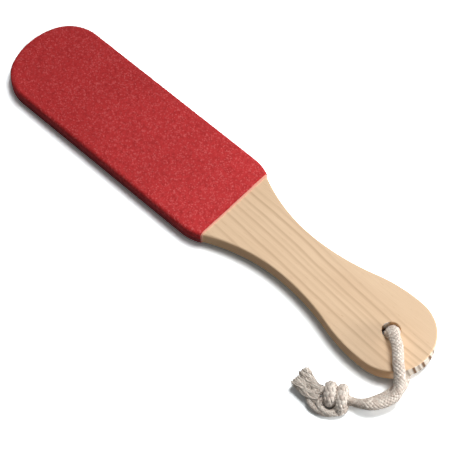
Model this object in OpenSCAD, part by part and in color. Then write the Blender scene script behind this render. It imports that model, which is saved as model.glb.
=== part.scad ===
// Foot file: a flat wooden paddle whose head is faced with abrasive sheet on both sides.
// The sheets roll over the rounded edge of the head and meet halfway down its side.
// A knotted loop of soft rope through the round handle end hangs it up, and lifts that end a little
// where the rope is pressed between the handle and the surface that the file lies on.

/* [Paddle outline] */
// Length of the wooden paddle, head tip to handle end
paddle_length = 264.4; // [200:0.1:320]
// Width of the wooden head
head_w = 51.4; // [40:0.2:60]
// Radius of the blunt arc across the head's tip
tip_r = 35.4; // [30:0.2:60]
// Radius of the two corners beside the tip arc
corner_r = 19.4; // [10:0.2:20]
// Distance from the head tip to where the straight sides start to turn in
shoulder_x = 131.6; // [110:0.2:140]
// Radius of the shoulder that turns each side in to the neck
shoulder_r = 22.4; // [15:0.2:35]
// Distance from the head tip to the narrowest place of the handle
waist_x = 183.2; // [175:0.2:195]
// Width of the handle at its narrowest place
waist_w = 26; // [20:0.2:30]
// Widest width of the handle's round end
bulb_w = 42.6; // [36:0.2:48]
// Radius of the long bulge on each side of the round end
side_r = 80; // [50:1:110]
// Distance from the widest place of the round end to the handle's end
bulb_reach = 24; // [20:0.2:32]

/* [Paddle section] */
// Thickness of the wooden paddle
paddle_t = 8; // [6:0.1:12]
// Rounding of the head's edges under the abrasive
head_edge_r = 1.2; // [0.8:0.1:2.5]
// Rounding of the handle's edges
handle_edge_r = 0.8; // [0.4:0.1:1.5]
// Length over which the head's rounding runs out into the handle's
edge_runout = 14; // [8:1:30]
// Diameter of the hole for the hanging loop
hole_d = 9; // [7:0.1:10]
// How far the hole sits from the middle of the round end, towards the neck
hole_set_in = 0.6; // [0:0.1:2]
// Width of the small bevel at both mouths of the hole
hole_bevel = 0.4; // [0.2:0.1:0.8]

/* [Abrasive sheets] */
// How far past the end of the shoulder bend the abrasive stops
grit_past_shoulder = 0.8; // [0.6:0.2:8]
// Thickness of the glue film under each sheet
adhesive_t = 0.1; // [0.05:0.01:0.2]
// Thickness of each sheet's cloth backing
backing_t = 0.2; // [0.1:0.01:0.4]
// Thickness of the grain layer on the coarse face
coarse_grit_t = 0.35; // [0.2:0.01:0.6]
// Thickness of the grain layer on the fine face
fine_grit_t = 0.25; // [0.1:0.01:0.5]

/* [Rope] */
// Diameter of the rope
rope_d = 5; // [4:0.1:6]
// Height of the rope where the handle presses it flat
pressed_h = 3.2; // [2.5:0.1:5]
// Width of the knot across the rope
knot_w = 16.4; // [14:0.2:24]
// Height of the knot
knot_h = 11.4; // [10:0.2:16]
// Diameter of the rope where the knot grips it
gripped_d = 4; // [3:0.1:5]
// Width of a tail at its frayed end
fray_d = 6.4; // [5:0.1:8]

/* [Hidden] */

wood_colour = [0.87, 0.74, 0.58];
grit_colour = [0.70, 0.22, 0.22];
fine_grit_colour = [0.62, 0.22, 0.23];
backing_colour = [0.84, 0.58, 0.45];
adhesive_colour = [0.84, 0.78, 0.62];
rope_colour = [0.80, 0.75, 0.68];

// Numbers of straight steps along each bend of the outline
tip_steps = 5;
corner_steps = 9;
shoulder_steps = 5;
neck_steps = 8;
grip_steps = 6;
side_steps = 6;
end_steps = 13;
edge_steps = 4;
hole_facets = 64;

// Centres of the bends on the +Y side, and the angles at which each runs into the next.
tip_c = [tip_r, 0];
corner_y = head_w / 2 - corner_r;
corner_c = [tip_r - sqrt(pow(tip_r - corner_r, 2) - pow(corner_y, 2)), corner_y];
tip_turn = atan2(corner_c.y - tip_c.y, corner_c.x - tip_c.x);
shoulder_c = [shoulder_x, head_w / 2 - shoulder_r];

// The neck bend is tangent to the shoulder and level at the waist.
neck_run = waist_x - shoulder_x;
neck_rise = waist_w / 2 - shoulder_c.y;
neck_r = (pow(neck_rise, 2) + pow(neck_run, 2) - pow(shoulder_r, 2)) / (2 * (shoulder_r - neck_rise));
neck_c = [waist_x, waist_w / 2 + neck_r];
neck_turn = atan2(neck_run, neck_c.y - shoulder_c.y);

// The end is tangent to the side bulges, and the grip bend joins the waist to the bulge.
side_c = [paddle_length - bulb_reach, bulb_w / 2 - side_r];
end_r = (pow(side_r, 2) - pow(bulb_reach, 2) - pow(side_c.y, 2)) / (2 * (side_r - bulb_reach));
end_c = [paddle_length - end_r, 0];
side_end = atan2(end_c.y - side_c.y, end_c.x - side_c.x);
grip_run = side_c.x - waist_x;
grip_gain = (bulb_w - waist_w) / 2;
grip_r = (pow(grip_run, 2) + pow(grip_gain, 2)) / (2 * grip_gain) - side_r;
grip_c = [waist_x, waist_w / 2 + grip_r];
grip_turn = asin(grip_run / (grip_r + side_r));
side_turn = 90 + grip_turn - side_end;

// The abrasive stops on a straight line across the neck bend.
grit_end_x = shoulder_c.x + shoulder_r * sin(neck_turn) + grit_past_shoulder;

// Offsets of the layers from the wood: top of the glue, of the backing and of the grain.
backing_off = adhesive_t + backing_t;
coarse_t = backing_off + coarse_grit_t;
fine_t = backing_off + fine_grit_t;

// The file lies on the flat of its head beside the tip, and on the pressed rope at the hole.
hole_c = [end_c.x - hole_set_in, 0];
rest_x = head_edge_r;
lean = atan2(pressed_h - fine_t, hole_c.x - rest_x);
middle_x = (paddle_length - coarse_t) / 2;

rope_sides = 8;
knot_sides = 16;
turn_rings = 16;
rope_r = rope_d / 2;
leg_ease = 8;
tail_ease = 1;
floor_z = 0;

// Route of the rope's upper leg: up from halfway down the hole, over the handle's edge, to the knot
upper_route = [
    [110.5, 0.7, 7.2], [110.5, 0.7, 9.2], [110.7, 0, 11.3], [112, -1.5, 13.3], [114.4, -3.1, 15],
    [117.9, -5.4, 15.9], [121.5, -8.1, 15.9], [125, -10.9, 15.2], [127.9, -13.3, 14.2],
    [130, -15.1, 12.4], [131.5, -16.8, 10.3], [132.6, -19.3, 8.5], [133, -22.5, 7.3],
    [132.3, -26.1, 6.7], [130.6, -29.6, 6.5], [128.2, -32.9, 6.6], [125.1, -35.4, 7.1],
    [122, -36.9, 7.4], [119.2, -38.2, 7.4]];

// Route of the lower leg: down from the same place, pressed under the handle's edge, to the knot
lower_route = [
    [110.5, 0.7, 7.2], [110.5, 0.7, 5.6], [110.9, 0.4, 3.8], [112.2, -0.5, 2.4], [114.8, -2, 1.7],
    [118.4, -4, 1.6], [122, -5.9, 1.6], [125.6, -7.8, 1.6], [128.7, -10.3, 1.9], [130.8, -13, 2.3],
    [131.5, -16.5, 2.5], [130.9, -20.1, 2.5], [130.1, -23.2, 2.5], [129.2, -25.8, 2.5],
    [127.5, -29.1, 2.6], [125.5, -32.6, 2.8], [123.3, -35.3, 3.1], [121.8, -36.7, 3.3],
    [119.2, -38.2, 3.3]];

// Route of the doubled rope through the knot
knot_route = [[119.2, -38.2, 0], [106.8, -45.6, 0]];

// Routes of the two tails, from the knot to their frayed ends
long_tail_route = [
    [106.2, -42.9, 6], [104.2, -43.5, 5.4], [101.4, -43.1, 4.7], [98.4, -42, 4.1], [95.6, -40.7, 3.6],
    [92.6, -39.2, 3.3]];
short_tail_route = [
    [108, -47.4, 4.8], [105.6, -48.4, 4.3], [102.8, -48.8, 3.9], [99.4, -48.4, 3.6], [95.6, -48.2, 3.3],
    [91.8, -48.4, 3.2]];

// The knot's core along its route: place, width and height as shares of the knot's.
core_shares = [[0, 0.3, 0.76], [0.12, 0.55, 0.86], [0.3, 0.74, 0.9], [0.6, 0.74, 0.88], [0.8, 0.68, 0.8],
               [1, 0.6, 0.72]];

// The turns round the core: place, width, height and slant as shares of the knot's.
turn_shares = [[0.24, 0.94, 1, 0.1], [0.56, 1, 1, 0.14], [0.84, 0.86, 0.86, -0.3]];

function unit(v) = v / norm(v);

function direction(angle) = [cos(angle), sin(angle)];

// Points on a bend about c, from one angle to another, without the last.
function bend(c, r, from, to, steps) =
    [for (i = [0 : steps - 1]) c + r * direction(from + (to - from) * i / steps)];

// Angle on the neck bend at which the outline, set in by inset, crosses the end of the abrasive.
function grit_end_turn(inset) = asin((neck_c.x - grit_end_x) / (neck_r + inset));

// Half outline of the head on the +Y side, set in by inset, from the tip to the end of the abrasive.
function head_half(inset) = concat(
    bend(tip_c, tip_r - inset, 180, tip_turn, tip_steps),
    bend(corner_c, corner_r - inset, tip_turn, 90, corner_steps),
    bend(shoulder_c, shoulder_r - inset, 90, 90 - neck_turn, shoulder_steps),
    [neck_c + (neck_r + inset) * direction(-90 - neck_turn),
     neck_c + (neck_r + inset) * direction(-90 - grit_end_turn(inset))]);

// Rounding of the handle's edge at a distance from the tip.
function edge_r_at(x) =
    handle_edge_r + (head_edge_r - handle_edge_r) * max(0, 1 - (x - grit_end_x) / edge_runout);

// Stations of the handle's half outline: a centre, the radius and which side of it the wood is on.
handle_stations = concat(
    [for (i = [1 : neck_steps]) [neck_c, neck_r, -90 - grit_end_turn(0) * (1 - i / neck_steps), 1]],
    [for (i = [1 : grip_steps]) [grip_c, grip_r, -90 + grip_turn * i / grip_steps, 1]],
    [for (i = [1 : side_steps]) [side_c, side_r, 90 + grip_turn - side_turn * i / side_steps, -1]],
    [for (i = [1 : end_steps]) [end_c, end_r, side_end * (1 - i / end_steps), -1]]);

function handle_point(station, inset) =
    station[0] + (station[1] + station[3] * inset) * direction(station[2]);

// Share of the edge rounding that the outline is set in by at each step round the edge.
function set_in_share(step) = 1 - cos(90 * step / edge_steps);
function rise_share(step) = sin(90 * step / edge_steps);

function other_side(points) = [for (p = points) [p.x, -p.y, p.z]];
function backwards(points) = [for (i = [len(points) - 1 : -1 : 0]) points[i]];

// Height of a step round an edge of radius r. side is 1 round the top edge and -1 round the bottom one.
function edge_z(r, step, side) = paddle_t / 2 + side * (paddle_t / 2 - r + r * rise_share(step));

// A whole ring of the paddle: one side from the tip to the end, then back along the other side.
function paddle_ring(step, side) =
    let (head = [for (p = head_half(head_edge_r * set_in_share(step)))
                    [p.x, p.y, edge_z(head_edge_r, step, side)]],
         handle = [for (station = handle_stations)
                      let (r = edge_r_at(handle_point(station, 0).x),
                           p = handle_point(station, r * set_in_share(step)))
                          [p.x, p.y, edge_z(r, step, side)]],
         half = concat(head, handle))
    concat(other_side(half), [for (i = [len(half) - 2 : -1 : 1]) half[i]]);

function quad(a, b, c, d) = [[a, b, c], [a, c, d]];

// The part of the strip between ring a and ring b that runs from place i to place k.
function strip(a, b, i, k) = quad(a + i, b + i, b + k, a + k);

function turned_over(faces) = [for (f = faces) [for (i = [len(f) - 1 : -1 : 0]) f[i]]];

// The flat inside a closed ring of n places that starts at place start, in steps from side to side.
function closed_flat(start, n) =
    concat([[start, start + 1, start + n - 1]],
           [for (i = [1 : n / 2 - 2])
               each quad(start + i, start + i + 1, start + n - i - 1, start + n - i)],
           [[start + n / 2 - 1, start + n / 2, start + n / 2 + 1]]);

// A closed body through rings of equal length, lowest first, with flat ends.
module skin(rings) {
    n = len(rings[0]);
    last = (len(rings) - 1) * n;
    sides = [for (j = [0 : n : last - n]) for (i = [0 : n - 1]) each strip(j, j + n, i, (i + 1) % n)];
    polyhedron(
        [for (ring = rings) each ring],
        concat(sides, closed_flat(0, n), turned_over(closed_flat(last, n))),
        convexity = 6);
}

// An open ring of the head at a distance off the wood, from one end of the abrasive round the tip to
// the other. Step -1 is halfway down the side, and the last step is the edge of the flat.
function sheet_ring(off, step) =
    let (turn = 90 * max(step, 0) / edge_steps,
         inset = head_edge_r - (head_edge_r + off) * cos(turn),
         z = step < 0 ? paddle_t / 2 : paddle_t - head_edge_r + (head_edge_r + off) * sin(turn),
         half = [for (p = head_half(inset)) [p.x, p.y, z]])
    concat(backwards(half), [for (i = [1 : len(half) - 1]) other_side(half)[i]]);

// The flat inside an open ring of n places that starts at place start, in steps from the tip.
function open_flat(start, n) =
    let (tip = start + (n - 1) / 2)
        concat([[tip + 1, tip, tip - 1]],
               [for (i = [1 : (n - 1) / 2 - 1]) each quad(tip + i + 1, tip + i, tip - i, tip - i - 1)]);

// One layer of the upper sheet, between two distances off the wood: the flat, rolled over the edge.
module sheet_layer(inner_off, outer_off) {
    outer = [for (step = [-1 : edge_steps]) sheet_ring(outer_off, step)];
    inner = [for (step = [-1 : edge_steps]) sheet_ring(inner_off, step)];
    n = len(outer[0]);
    rows = len(outer);
    edge = (rows - 1) * n;
    start = rows * n;
    outside = [for (a = [0 : n : edge - n]) for (i = [0 : n - 2])
        each strip(a, a + n, i, i + 1)];
    inside = [for (a = [start : n : start + edge - n]) for (i = [0 : n - 2])
        each strip(a, a + n, i, i + 1)];
    rim = [for (i = [0 : n - 2]) each strip(start, 0, i, i + 1)];
    outer_flat = open_flat(edge, n);
    inner_flat = open_flat(start + edge, n);
    cut_ends = [for (a = [0 : n : edge - n])
        let (b = a + n)
            each concat(quad(b, a, start + a, start + b),
                        quad(b - 1, b + n - 1, start + b + n - 1, start + b - 1))];
    cut_top = quad(edge + n - 1, edge, start + edge, start + edge + n - 1);
    polyhedron(
        [for (ring = concat(outer, inner)) each ring],
        concat(outside, turned_over(inside), rim, outer_flat, turned_over(inner_flat), cut_ends, cut_top),
        convexity = 6);
}

// The lower sheet is the upper one turned over about the middle of the wood.
module under() {
    translate([0, 0, paddle_t]) mirror([0, 0, 1]) children();
}

// Puts the paddle as it lies: origin below its middle, leaning up towards the handle.
module lying() {
    translate([rest_x - middle_x, 0, floor_z])
        rotate([0, -lean, 0])
            translate([-rest_x, 0, fine_t])
                children();
}

// Height of the handle's underside above the surface at a place along the file.
function underside_z(x) = (x + middle_x - rest_x) * tan(lean) + fine_t / cos(lean);

function heading(route, i) = unit(route[min(i + 1, len(route) - 1)] - route[max(i - 1, 0)]);

// A direction square to the route, carried along it without twisting.
function square_to(route, i) =
    let (t = heading(route, i),
         first = abs(t.z) > abs(t.x) ? [1, 0, 0] : [0, 0, 1],
         before = i == 0 ? first : square_to(route, i - 1))
        unit(before - (before * t) * t);

// A rope section that stays above the surface and under the handle's underside.
function pressed(p) =
    let (place = [p.x + middle_x, p.y],
         under_handle = norm(place - end_c) < end_r && p.z < paddle_t,
         outside_hole = norm(place - hole_c) > hole_d / 2,
         top = under_handle && outside_hole ? min(p.z, underside_z(p.x)) : p.z)
        [p.x, p.y, max(floor_z, top)];

function rope_ring(route, i, r) =
    let (t = heading(route, i), n = square_to(route, i), b = cross(t, n))
        [for (k = [0 : rope_sides - 1])
            let (a = 360 * k / rope_sides) pressed(route[i] + r * (cos(a) * n + sin(a) * b))];

// A length of rope along a route, with the radius at each end. A higher ease changes the radius later.
module rope(route, r_start, r_end, ease) {
    last = len(route) - 1;
    skin([for (i = [0 : last]) rope_ring(route, i, r_start + (r_end - r_start) * pow(i / last, ease))]);
}

// One oval turn of the rope in the plane across X, w wide and h high, slanting along X as it rises.
module rope_turn(w, h, slant) {
    n = rope_sides;
    middles = [for (j = [0 : turn_rings - 1])
        let (a = 360 * j / turn_rings)
            [slant * sin(a), (w / 2 - rope_r) * cos(a), (h / 2 - rope_r) * sin(a)]];
    outward = [for (j = [0 : turn_rings - 1])
        let (a = 360 * j / turn_rings) unit([0, (h / 2 - rope_r) * cos(a), (w / 2 - rope_r) * sin(a)])];
    points = [for (j = [0 : turn_rings - 1]) for (k = [0 : n - 1])
        let (b = 360 * k / n) middles[j] + rope_r * (cos(b) * outward[j] - [sin(b), 0, 0])];
    faces = [for (j = [0 : turn_rings - 1]) for (k = [0 : n - 1])
        each strip(j * n, (j + 1) % turn_rings * n, k, (k + 1) % n)];
    polyhedron(points, faces, convexity = 8);
}

module paddle_board() {
    color(wood_colour)
        lying()
            difference() {
                skin(concat(
                    [for (step = [edge_steps : -1 : 0]) paddle_ring(step, -1)],
                    [for (step = [0 : edge_steps]) paddle_ring(step, 1)]));
                translate([hole_c.x, hole_c.y, 0]) rope_hole();
            }
}

module rope_hole() {
    wide_r = hole_d / 2 + 2 * hole_bevel;
    translate([0, 0, -hole_bevel])
        cylinder(h = paddle_t + 2 * hole_bevel, r = hole_d / 2, $fn = hole_facets);
    for (side = [0, 1])
        translate([0, 0, side * paddle_t])
            mirror([0, 0, side])
                translate([0, 0, -hole_bevel])
                    cylinder(h = 2 * hole_bevel, r1 = wide_r, r2 = hole_d / 2, $fn = hole_facets);
}

module coarse_adhesive() {
    color(adhesive_colour) lying() sheet_layer(0, adhesive_t);
}

module coarse_backing() {
    color(backing_colour) lying() sheet_layer(adhesive_t, backing_off);
}

module coarse_grit() {
    color(grit_colour) lying() sheet_layer(backing_off, coarse_t);
}

module fine_adhesive() {
    color(adhesive_colour) lying() under() sheet_layer(0, adhesive_t);
}

module fine_backing() {
    color(backing_colour) lying() under() sheet_layer(adhesive_t, backing_off);
}

module fine_grit() {
    color(fine_grit_colour) lying() under() sheet_layer(backing_off, fine_t);
}

module rope_upper_leg() {
    color(rope_colour) rope(upper_route, rope_r, gripped_d / 2, leg_ease);
}

module rope_lower_leg() {
    color(rope_colour) rope(lower_route, rope_r, gripped_d / 2, leg_ease);
}

module rope_knot() {
    run = knot_route[1] - knot_route[0];
    color(rope_colour)
        translate(knot_route[0] + [0, 0, knot_h / 2])
            rotate([0, 0, atan2(run.y, run.x)]) {
                skin([for (share = core_shares)
                    [for (k = [0 : knot_sides - 1])
                        let (a = 360 * k / knot_sides, w = share[1] * knot_w / 2, h = share[2] * knot_h / 2)
                            [share[0] * norm(run), w * cos(a), h * sin(a)]]]);
                for (share = turn_shares)
                    translate([share[0] * norm(run), 0, (share[2] - 1) * knot_h / 2])
                        rope_turn(share[1] * knot_w, share[2] * knot_h, share[3] * knot_h);
            }
}

module rope_tail_long() {
    color(rope_colour) rope(long_tail_route, rope_r, fray_d / 2, tail_ease);
}

module rope_tail_short() {
    color(rope_colour) rope(short_tail_route, rope_r, fray_d / 2, tail_ease);
}

paddle_board();
coarse_adhesive();
coarse_backing();
coarse_grit();
fine_adhesive();
fine_backing();
fine_grit();
rope_upper_leg();
rope_lower_leg();
rope_knot();
rope_tail_long();
rope_tail_short();
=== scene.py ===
import math

import bpy
import numpy as np
from mathutils import Matrix, Vector


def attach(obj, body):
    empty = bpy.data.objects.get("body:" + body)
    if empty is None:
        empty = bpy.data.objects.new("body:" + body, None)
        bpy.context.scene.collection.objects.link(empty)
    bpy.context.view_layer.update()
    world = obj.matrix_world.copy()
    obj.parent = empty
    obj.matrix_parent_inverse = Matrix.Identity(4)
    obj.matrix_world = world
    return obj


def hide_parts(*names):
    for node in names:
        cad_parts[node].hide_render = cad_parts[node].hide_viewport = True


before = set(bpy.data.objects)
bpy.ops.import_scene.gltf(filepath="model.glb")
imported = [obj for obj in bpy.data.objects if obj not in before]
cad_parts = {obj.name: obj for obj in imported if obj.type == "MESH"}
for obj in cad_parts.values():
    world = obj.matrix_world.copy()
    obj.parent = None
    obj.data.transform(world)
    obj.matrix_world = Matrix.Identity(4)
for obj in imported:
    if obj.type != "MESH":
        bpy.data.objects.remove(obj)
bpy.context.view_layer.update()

MM = 0.001
BODY = "root"
dice = np.random.default_rng(23)

# Camera, placed where the photograph was taken from
EYE = Vector((348.01, -373.95, 836.18)) * MM
AIM = Vector((14.06, -10.56, 8.0)) * MM
CAMERA_ROLL = math.radians(0.892)
LENS = 160.0
SENSOR = 36.0


def make_camera():
    """A long lens looking down on the file from its near side."""
    ahead = (AIM - EYE).normalized()
    level_right = ahead.cross(Vector((0, 0, 1))).normalized()
    level_up = level_right.cross(ahead)
    right = level_right * math.cos(CAMERA_ROLL) + level_up * math.sin(CAMERA_ROLL)
    up = level_up * math.cos(CAMERA_ROLL) - level_right * math.sin(CAMERA_ROLL)
    lens = bpy.data.cameras.new("camera")
    lens.lens = LENS
    lens.sensor_width = SENSOR
    lens.clip_start = 0.05
    lens.clip_end = 20.0
    camera = bpy.data.objects.new("camera", lens)
    bpy.context.scene.collection.objects.link(camera)
    turn = Matrix((right, up, -ahead)).transposed().to_4x4()
    camera.matrix_world = Matrix.Translation(EYE) @ turn
    bpy.context.scene.camera = camera


make_camera()

# Sizes of the wooden paddle in millimetres, measured from the wood's tip and underside
PADDLE_LENGTH = 264.4
PADDLE_T = 8.0
TIP_C, TIP_R = (35.4, 0.0), 35.4
CORNER_R, CORNER_Y = 19.4, 6.3
CORNER_C = (TIP_R - math.sqrt((TIP_R - CORNER_R) ** 2 - CORNER_Y ** 2), CORNER_Y)
TIP_TURN = math.degrees(math.atan2(CORNER_C[1] - TIP_C[1], CORNER_C[0] - TIP_C[0]))
SHOULDER_C, SHOULDER_R = (131.6, 3.3), 22.4
WAIST_X, WAIST_W = 183.2, 26.0
NECK_RUN = WAIST_X - SHOULDER_C[0]
NECK_RISE = WAIST_W / 2 - SHOULDER_C[1]
NECK_R = (NECK_RISE ** 2 + NECK_RUN ** 2 - SHOULDER_R ** 2) / (2 * (SHOULDER_R - NECK_RISE))
NECK_C = (WAIST_X, WAIST_W / 2 + NECK_R)
NECK_TURN = math.degrees(math.atan2(NECK_RUN, NECK_C[1] - SHOULDER_C[1]))
BULB_W, BULB_REACH, SIDE_R = 42.6, 24.0, 80.0
SIDE_C = (PADDLE_LENGTH - BULB_REACH, BULB_W / 2 - SIDE_R)
END_R = (SIDE_R ** 2 - BULB_REACH ** 2 - SIDE_C[1] ** 2) / (2 * (SIDE_R - BULB_REACH))
END_C = (PADDLE_LENGTH - END_R, 0.0)
SIDE_END = math.degrees(math.atan2(END_C[1] - SIDE_C[1], END_C[0] - SIDE_C[0]))
GRIP_RUN = SIDE_C[0] - WAIST_X
GRIP_GAIN = BULB_W / 2 - WAIST_W / 2
GRIP_R = (GRIP_RUN ** 2 + GRIP_GAIN ** 2) / (2 * GRIP_GAIN) - SIDE_R
GRIP_C = (WAIST_X, WAIST_W / 2 + GRIP_R)
GRIP_TURN = math.degrees(math.asin(GRIP_RUN / (GRIP_R + SIDE_R)))
HOLE_SET_IN, HOLE_D = 0.6, 9.0
HOLE_C = (END_C[0] - HOLE_SET_IN, 0.0)
SHEET_PAST_SHOULDER = 0.8
SHEET_END_X = SHOULDER_C[0] + SHOULDER_R * math.sin(math.radians(NECK_TURN)) + SHEET_PAST_SHOULDER

# Edge roundings of the wood, and how far the change from one to the other runs
HEAD_EDGE_R, HANDLE_EDGE_R, EDGE_RUNOUT, HOLE_EDGE_R = 1.2, 0.8, 14.0, 0.4

# Layers of the two abrasive sheets: glue and cloth, then the grain, which leaves a strip of cloth bare
UNDER_GRAIN_T = 0.3
COARSE_GRAIN_T, FINE_GRAIN_T = 0.35, 0.25
COARSE_T, FINE_T = UNDER_GRAIN_T + COARSE_GRAIN_T, UNDER_GRAIN_T + FINE_GRAIN_T
BARE_CLOTH = 0.9

# How the paddle lies: raised at the handle's end by the rope pressed under it
REST_X, PRESSED_H = HEAD_EDGE_R, 3.2
LEAN = math.atan2(PRESSED_H - FINE_T, HOLE_C[0] - REST_X)
MIDDLE_X = (PADDLE_LENGTH - COARSE_T) / 2
LYING = (
    Matrix.Translation(((REST_X - MIDDLE_X) * MM, 0, 0))
    @ Matrix.Rotation(-LEAN, 4, "Y")
    @ Matrix.Translation((-REST_X * MM, 0, FINE_T * MM))
)

# Outline points nearer to each other than this, in millimetres, are one point
SAME_POINT = 0.002

# How far up or down a face's normal points where the face counts as flat, and where it is quite level
FLAT, LEVEL = 0.9, 0.9999


def clear_selection():
    """Leaves edit mode and deselects everything."""
    if bpy.context.object and bpy.context.object.mode != "OBJECT":
        bpy.ops.object.mode_set(mode="OBJECT")
    bpy.ops.object.select_all(action="DESELECT")


def use_only(piece):
    """Makes one piece the selected and active one."""
    clear_selection()
    piece.select_set(True)
    bpy.context.view_layer.objects.active = piece


def start_outline(name, x):
    """One loose point on the paddle's middle line, ready to be swept into an outline."""
    clear_selection()
    bpy.ops.mesh.primitive_plane_add(size=MM, location=(x * MM, 0, 0))
    piece = bpy.context.object
    piece.name = name
    bpy.ops.object.transform_apply(location=True, rotation=True, scale=True)
    bpy.ops.object.mode_set(mode="EDIT")
    bpy.ops.mesh.merge(type="CENTER")
    return piece


def sweep(centre, turn, steps):
    """Carries the last point of the outline round a centre, anticlockwise where turn is above zero."""
    bpy.ops.mesh.spin(
        steps=steps,
        angle=-math.radians(turn),
        center=(centre[0] * MM, centre[1] * MM, 0),
        axis=(0, 0, 1),
    )


def run(x, y):
    """Carries the last point of the outline straight on."""
    bpy.ops.mesh.extrude_region_move(TRANSFORM_OT_translate={"value": (x * MM, y * MM, 0)})


def close_and_mirror(piece):
    """Closes the half outline into a face and adds its other half."""
    bpy.ops.mesh.select_all(action="SELECT")
    bpy.ops.mesh.remove_doubles(threshold=SAME_POINT * MM)
    bpy.ops.mesh.edge_face_add()
    bpy.ops.object.mode_set(mode="OBJECT")
    mirror = piece.modifiers.new("other_half", "MIRROR")
    mirror.use_axis = (False, True, False)
    mirror.merge_threshold = SAME_POINT * MM
    bpy.ops.object.modifier_apply(modifier=mirror.name)


def raise_block(low, high):
    """Pulls the flat outline up into a block between two heights."""
    bpy.ops.object.mode_set(mode="EDIT")
    bpy.ops.mesh.select_all(action="SELECT")
    bpy.ops.transform.translate(value=(0, 0, low * MM))
    bpy.ops.mesh.extrude_region_move(TRANSFORM_OT_translate={"value": (0, 0, (high - low) * MM)})
    bpy.ops.mesh.select_all(action="SELECT")
    bpy.ops.mesh.normals_make_consistent(inside=False)
    bpy.ops.object.mode_set(mode="OBJECT")


def round_rims(piece, width, share_at, steps):
    """Rounds the rims between the flat faces and the sides, each edge by its share of width."""
    mesh = piece.data
    shares = mesh.attributes.new("bevel_weight_edge", "FLOAT", "EDGE")
    flat_sides = {}
    for face in mesh.polygons:
        for key in face.edge_keys:
            flat_sides.setdefault(key, []).append(abs(face.normal.z) > FLAT)
    for edge in mesh.edges:
        if sorted(flat_sides[edge.key]) == [False, True]:
            middle = (mesh.vertices[edge.vertices[0]].co + mesh.vertices[edge.vertices[1]].co) / 2
            shares.data[edge.index].value = share_at(middle / MM)
    rounding = piece.modifiers.new("rims", "BEVEL")
    rounding.limit_method = "WEIGHT"
    rounding.width = width * MM
    rounding.segments = steps
    rounding.use_clamp_overlap = False
    bpy.ops.object.modifier_apply(modifier=rounding.name)


def lay_down(piece):
    """Puts a piece made in the paddle's own axes where the paddle lies, with its place in its mesh."""
    use_only(piece)
    piece.matrix_world = LYING
    bpy.ops.object.transform_apply(location=True, rotation=True, scale=True)


def add_piece(piece, slot, *nodes):
    """Puts a finished piece on the file's body in the place of CAD nodes."""
    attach(piece, BODY)
    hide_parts(*nodes)


# A colour mix takes its factor and its two colours at these inputs and gives its result at this output
MIX_INPUTS, MIX_RESULT = (0, 6, 7), 2


def new_material(name):
    """A new material that holds only a shader, with its node tree and that shader."""
    material = bpy.data.materials.new(name)
    material.use_nodes = True
    nodes = material.node_tree.nodes
    nodes.clear()
    output = nodes.new("ShaderNodeOutputMaterial")
    shader = nodes.new("ShaderNodeBsdfPrincipled")
    material.node_tree.links.new(shader.outputs["BSDF"], output.inputs["Surface"])
    return material, material.node_tree, shader


def node(tree, kind, **settings):
    """A new node with its settings, where a name with a capital is an input socket."""
    made = tree.nodes.new(kind)
    for key, value in settings.items():
        if key[0].isupper():
            made.inputs[key.replace("_", " ")].default_value = value
        else:
            setattr(made, key, value)
    return made


def feed(tree, socket, value):
    """Links another socket in, or writes a number or a colour."""
    if isinstance(value, bpy.types.NodeSocket):
        tree.links.new(value, socket)
    else:
        socket.default_value = (*value, 1) if isinstance(value, tuple) else value


def place_map(tree, scale=(1, 1, 1), turn=(0, 0, 0)):
    """Object coordinates, turned, and stretched so that a pattern changes scale times in a metre."""
    where = node(tree, "ShaderNodeTexCoord")
    mapping = node(tree, "ShaderNodeMapping", Scale=scale, Rotation=turn)
    tree.links.new(where.outputs["Object"], mapping.inputs["Vector"])
    return mapping.outputs["Vector"]


def noise(tree, vector, **settings):
    """The height of a noise pattern at each place."""
    made = node(tree, "ShaderNodeTexNoise", **settings)
    tree.links.new(vector, made.inputs["Vector"])
    return made.outputs["Fac"]


def multiply_add(tree, value, factor, added):
    """A value times a factor, with something added, each a socket or a number."""
    made = node(tree, "ShaderNodeMath", operation="MULTIPLY_ADD")
    for socket, part in zip(made.inputs, (value, factor, added)):
        feed(tree, socket, part)
    return made.outputs[0]


def ramp(tree, value, *stops):
    """A colour ramp over a value, each stop a place and a grey or a colour."""
    made = node(tree, "ShaderNodeValToRGB")
    band = made.color_ramp
    while len(band.elements) < len(stops):
        band.elements.new(0.5)
    for element, (place, colour) in zip(band.elements, stops):
        element.position = place
        element.color = (*colour, 1) if isinstance(colour, tuple) else (colour, colour, colour, 1)
    tree.links.new(value, made.inputs["Fac"])
    return made.outputs["Color"]


def mix(tree, kind, share, first, second):
    """Mixes two colours, each a socket or a colour, by a share that is a socket or a number."""
    made = node(tree, "ShaderNodeMix", data_type="RGBA", blend_type=kind)
    for place, value in zip(MIX_INPUTS, (share, first, second)):
        feed(tree, made.inputs[place], value)
    return made.outputs[MIX_RESULT]


def bump(tree, shader, height, distance, strength=1.0, after=None):
    """Adds relief to a shader from a height, as deep as distance in millimetres, over another relief."""
    made = node(tree, "ShaderNodeBump", Strength=strength, Distance=distance * MM)
    tree.links.new(height, made.inputs["Height"])
    if after is not None:
        tree.links.new(after, made.inputs["Normal"])
    tree.links.new(made.outputs["Normal"], shader.inputs["Normal"])
    return made.outputs["Normal"]


def coat(tree, shader, colour, roughness, gloss=0.5):
    """Gives a shader its colour, its roughness and its gloss, where 0.5 is an everyday gloss."""
    tree.links.new(colour, shader.inputs["Base Color"])
    shader.inputs["Roughness"].default_value = roughness
    shader.inputs["Specular IOR Level"].default_value = gloss


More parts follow.
